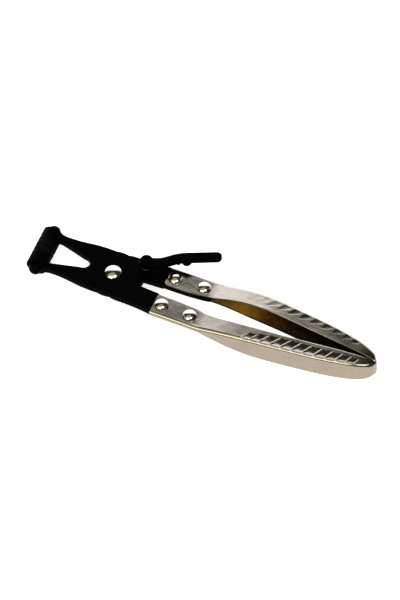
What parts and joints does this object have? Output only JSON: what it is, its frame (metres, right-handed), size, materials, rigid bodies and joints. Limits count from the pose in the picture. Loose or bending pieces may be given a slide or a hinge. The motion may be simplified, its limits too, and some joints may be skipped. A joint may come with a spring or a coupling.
{
  "type": "locking lever tongs",
  "caption": "Pivoted steel tongs with hollow nickel handles, a triangular window, swivelling cylindrical grip pads and a cranked black lever whose cam locks the pivot.",
  "frame": {"origin": "centre of the main pivot, at the mid-plane between the two lapped arms", "axes": "+X along the closed tongs from the jaws towards the handle tips, +Y towards the handle that carries the lock lever, +Z along the main pivot's axis, out of its domed head"},
  "size_m": [0.1859, 0.0438, 0.0164],
  "materials": {
    "blackened_steel": "black oxide over forged and milled steel, satin",
    "black_steel_fittings": "black oxide over turned steel, satin",
    "nickel_sheet": "nickel plate over pressed sheet, softly brushed; bare and amber inside",
    "polished_rivet": "polished nickel",
    "grip_pad": "hard black rubber, fine moulded grain",
    "spring_steel": "oiled spring steel"
  },
  "bodies": {
    "plain_half": {"plain_arm": "blackened_steel", "plain_handle": "nickel_sheet", "plain_handle_front_rivet": "polished_rivet", "plain_handle_rear_rivet": "polished_rivet", "pivot_rivet": "polished_rivet", "pivot_burr": "black_steel_fittings"},
    "lever_half": {"lever_arm": "blackened_steel", "lever_handle": "nickel_sheet", "lever_handle_front_rivet": "polished_rivet", "lever_handle_rear_rivet": "polished_rivet", "lock_washer": "blackened_steel", "lock_spring": "spring_steel", "spring_pin": "spring_steel"},
    "lock": {"lock_lever": "blackened_steel", "lock_shaft": "black_steel_fittings", "lock_cam": "spring_steel"},
    "plain_pad": {"plain_pad_spindle": "black_steel_fittings", "plain_grip_pad": "grip_pad", "plain_pad_cap": "black_steel_fittings"},
    "lever_pad": {"lever_pad_spindle": "black_steel_fittings", "lever_grip_pad": "grip_pad", "lever_pad_cap": "black_steel_fittings"}
  },
  "joints": [
    {"name": "jaw_pivot", "type": "hinge", "parent": "plain_half", "child": "lever_half", "pos_m": [0, 0, 0], "axis": [0, 0, 1], "range_deg": [0, 30]},
    {"name": "lock_turn", "type": "hinge", "parent": "lever_half", "child": "lock", "pos_m": [0.01424, 0.009, 0], "axis": [0, 0, 1], "range_deg": [-28, 0], "stiffness_Nm_per_rad": 0.02},
    {"name": "plain_pad_swivel", "type": "hinge", "parent": "plain_half", "child": "plain_pad", "pos_m": [-0.03724, 0, 0], "axis": [0, 1, 0], "continuous": true},
    {"name": "lever_pad_swivel", "type": "hinge", "parent": "lever_half", "child": "lever_pad", "pos_m": [-0.03724, 0, 0], "axis": [0, 1, 0], "continuous": true}
  ]
}
